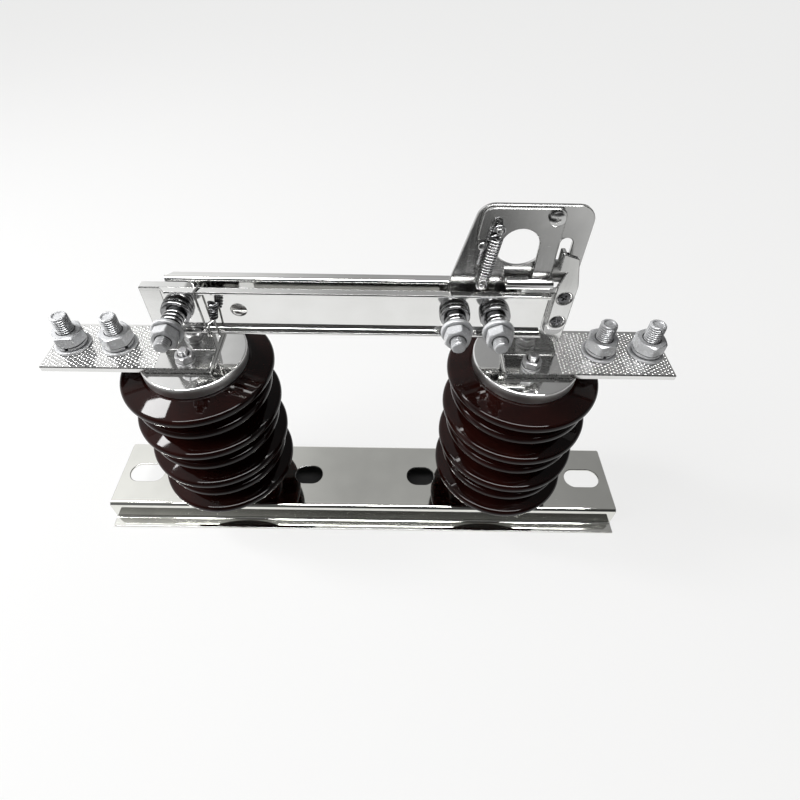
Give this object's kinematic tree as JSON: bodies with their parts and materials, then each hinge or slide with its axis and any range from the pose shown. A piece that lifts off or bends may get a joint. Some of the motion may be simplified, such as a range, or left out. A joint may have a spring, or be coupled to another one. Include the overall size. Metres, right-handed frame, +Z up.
{
  "type": "single-pole outdoor disconnect switch",
  "caption": "Hookstick-operated disconnect switch: a hinged twin blade with a sprung latch bridges two porcelain post insulators on a slotted steel base.",
  "frame": {"origin": "on the mounting plane under the middle of the base", "axes": "+X along the base from the hinge to the jaw, +Y to the rear, +Z up"},
  "size_m": [0.4, 0.0964, 0.269],
  "materials": {
    "base_steel": "bright rolled stainless sheet, near mirror, with fine scratches",
    "porcelain": "dark brown salt glaze, wet gloss",
    "cap_steel": "bright turned steel",
    "contact_copper": "tinned copper, dimpled on the terminal pads",
    "blade_steel": "bright plated strip, polished",
    "latch_steel": "stamped stainless sheet, satin",
    "spring_steel": "drawn spring wire, plated",
    "zinc_steel": "blue-white zinc plate",
    "screw_steel": "dull plated steel"
  },
  "bodies": {
    "frame": {"base_channel": "base_steel", "insulator_left": "porcelain", "insulator_right": "porcelain", "cap_left": "cap_steel", "cap_right": "cap_steel", "post_bolt_left": "zinc_steel", "post_bolt_right": "zinc_steel", "hinge_contact": "contact_copper", "jaw_contact": "contact_copper", "cap_studs_left": "screw_steel", "cap_studs_right": "screw_steel", "cap_nuts_left": "screw_steel", "cap_nuts_right": "screw_steel", "terminal_studs_left": "zinc_steel", "terminal_studs_right": "zinc_steel", "terminal_nuts_left": "zinc_steel", "terminal_nuts_right": "zinc_steel", "terminal_washers_left": "zinc_steel", "terminal_washers_right": "zinc_steel", "catch_strap": "latch_steel", "catch_spacer": "latch_steel", "catch_screws": "screw_steel"},
    "blade": {"front_blade": "blade_steel", "rear_blade": "blade_steel", "hinge_bolt": "zinc_steel", "hinge_washers": "zinc_steel", "hinge_spring": "spring_steel", "hinge_collar": "zinc_steel", "hinge_nut": "zinc_steel", "clamp_bolts": "zinc_steel", "clamp_washers": "zinc_steel", "clamp_springs": "spring_steel", "clamp_collars": "zinc_steel", "clamp_nuts": "zinc_steel", "blade_spacers": "latch_steel", "pull_plate": "latch_steel", "lever_pivot": "screw_steel", "lever_stop": "latch_steel", "spring_anchor": "latch_steel", "latch_spring": "spring_steel"},
    "lever": {"latch_lever": "latch_steel", "latch_tube": "latch_steel", "spring_post": "latch_steel"}
  },
  "joints": [
    {"name": "blade_hinge", "type": "hinge", "parent": "frame", "child": "blade", "pos_m": [-0.102, 0, 0.204], "axis": [0, -1, 0], "range_deg": [0, 120]},
    {"name": "latch_pivot", "type": "hinge", "parent": "blade", "child": "lever", "pos_m": [0.1001, 0, 0.2638], "axis": [0, 1, 0], "range_deg": [0, 12], "stiffness_Nm_per_rad": 0.8, "springref_deg": -28.65, "deforming": ["latch_spring"]}
  ]
}
